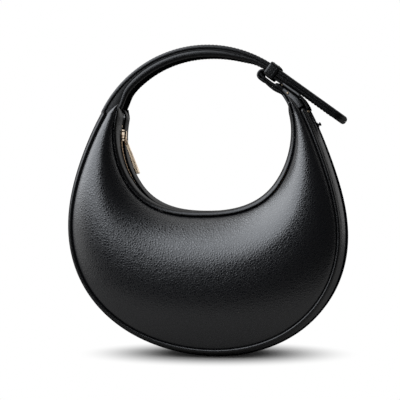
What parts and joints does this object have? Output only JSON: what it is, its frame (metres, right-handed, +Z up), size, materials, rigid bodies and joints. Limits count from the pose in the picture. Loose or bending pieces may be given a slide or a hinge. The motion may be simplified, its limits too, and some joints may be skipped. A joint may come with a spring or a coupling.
{
  "type": "half moon bag",
  "caption": "Crescent handbag: swelling leather panels on a gusset, a curved zip in the mouth, and a strap that runs through a keeper on a folded tab.",
  "frame": {"origin": "middle of the flat base, on the floor", "axes": "+X to the bag's right seen from the front, +Y to the back, +Z up"},
  "size_m": [0.2812, 0.0962, 0.3066],
  "materials": {
    "leather": "black pebbled grain",
    "lining": "plain woven",
    "stiffener": "non-woven sheet",
    "board": "fibre board",
    "zip_tape": "woven tape",
    "gold_metal": "pale gold plating",
    "black_metal": "black lacquer"
  },
  "bodies": {
    "bag": {"front_panel": "leather", "back_panel": "leather", "gusset_left": "leather", "gusset_right": "leather", "front_piping": "leather", "back_piping": "leather", "front_facing": "leather", "back_facing": "leather", "tab_loop": "leather", "tab_backing": "leather", "strap_outer_ply": "leather", "strap_inner_ply": "leather", "front_lining": "lining", "back_lining": "lining", "gusset_lining": "lining", "front_stiffener": "stiffener", "back_stiffener": "stiffener", "strap_core": "stiffener", "base_board": "board", "front_zip_tape": "zip_tape", "back_zip_tape": "zip_tape", "front_zip_teeth": "gold_metal", "back_zip_teeth": "gold_metal", "zip_top_stops": "gold_metal", "zip_bottom_stop": "gold_metal", "strap_stud": "gold_metal", "tail_stud": "black_metal", "horn_rivets": "gold_metal"},
    "zip_slider": {"slider_body": "gold_metal", "slider_bridge": "gold_metal"},
    "pull_link": {"pull_link": "gold_metal"},
    "pull_bar": {"pull_bar": "gold_metal"},
    "strap_tail": {"tail_outer_ply": "leather", "tail_inner_ply": "leather"},
    "keeper": {"keeper": "leather"}
  },
  "joints": [
    {"name": "zip_travel", "type": "hinge", "parent": "bag", "child": "zip_slider", "pos_m": [0, 0, 0.2175], "axis": [0, -1, 0], "range_deg": [0, 157], "deforming": ["front_zip_teeth", "back_zip_teeth"]},
    {"name": "link_swing", "type": "hinge", "parent": "zip_slider", "child": "pull_link", "pos_m": [-0.08412, 0, 0.2197], "axis": [0, -1, 0], "range_deg": [0, 100]},
    {"name": "bar_swing", "type": "hinge", "parent": "pull_link", "child": "pull_bar", "pos_m": [-0.08269, 0, 0.21326], "axis": [0, -1, 0], "range_deg": [0, 55]},
    {"name": "tail_bend", "type": "hinge", "parent": "bag", "child": "strap_tail", "pos_m": [0.09252, 0, 0.26219], "axis": [0, 1, 0], "range_deg": [-40, 3]},
    {"name": "keeper_slide", "type": "slide", "parent": "bag", "child": "keeper", "axis": [0.8007, 0, -0.599], "range_m": [-0.0008, 0.004]}
  ]
}
